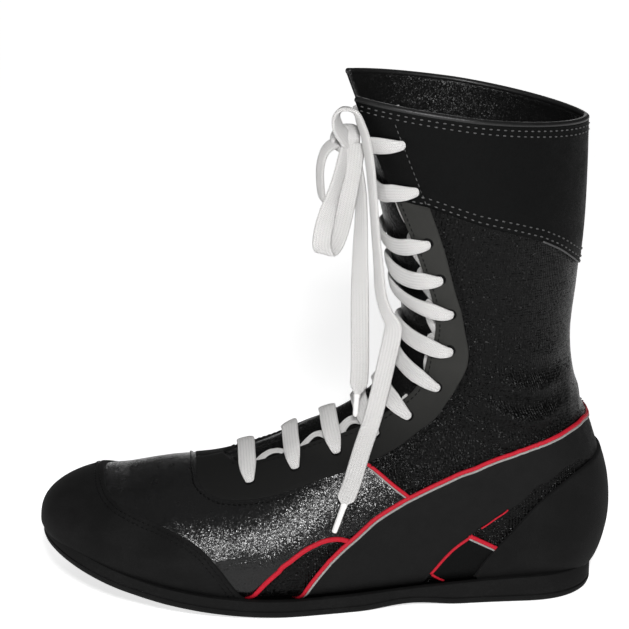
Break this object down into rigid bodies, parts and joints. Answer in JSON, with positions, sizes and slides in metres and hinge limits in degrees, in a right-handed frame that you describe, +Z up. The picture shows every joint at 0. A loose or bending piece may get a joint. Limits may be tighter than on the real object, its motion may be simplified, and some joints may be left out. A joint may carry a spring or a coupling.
{
  "type": "boxing shoe",
  "caption": "High laced boxing shoe for the left foot: black leather and textile upper with toe cap and heel counter, flat white laces tied in a bow, low rubber sole.",
  "frame": {"origin": "on the floor, under the middle of the shoe", "axes": "+X towards the heel, -X towards the toe, -Y towards the outer side of the foot, +Z up"},
  "size_m": [0.2945, 0.1019, 0.2642],
  "materials": {
    "sole_rubber": "matte",
    "upper_leather": "glossy pebbled",
    "toe_cap_suede": "matte suede",
    "heel_counter_suede": "matte suede",
    "tongue_cloth": "woven",
    "insole_cloth": "woven",
    "lace_cotton": "woven",
    "lace_tip_plastic": "smooth"
  },
  "bodies": {
    "root": {"outsole": "sole_rubber", "upper": "upper_leather", "insole": "insole_cloth", "tongue": "tongue_cloth", "toe_cap": "toe_cap_suede", "heel_counter": "heel_counter_suede", "lace_bar_01": "lace_cotton", "lace_bar_02": "lace_cotton", "lace_bar_03": "lace_cotton", "lace_bar_04": "lace_cotton", "lace_bar_05": "lace_cotton", "lace_bar_06": "lace_cotton", "lace_bar_07": "lace_cotton", "lace_bar_08": "lace_cotton", "lace_bar_09": "lace_cotton", "lace_bar_10": "lace_cotton", "lace_bar_11": "lace_cotton", "lace_bar_12": "lace_cotton", "lace_knot": "lace_cotton", "lace_loop_small": "lace_cotton", "lace_loop_large": "lace_cotton", "lace_end_short": "lace_cotton", "lace_end_long": "lace_cotton", "lace_tip_short": "lace_tip_plastic", "lace_tip_long": "lace_tip_plastic"}
  },
  "joints": []
}
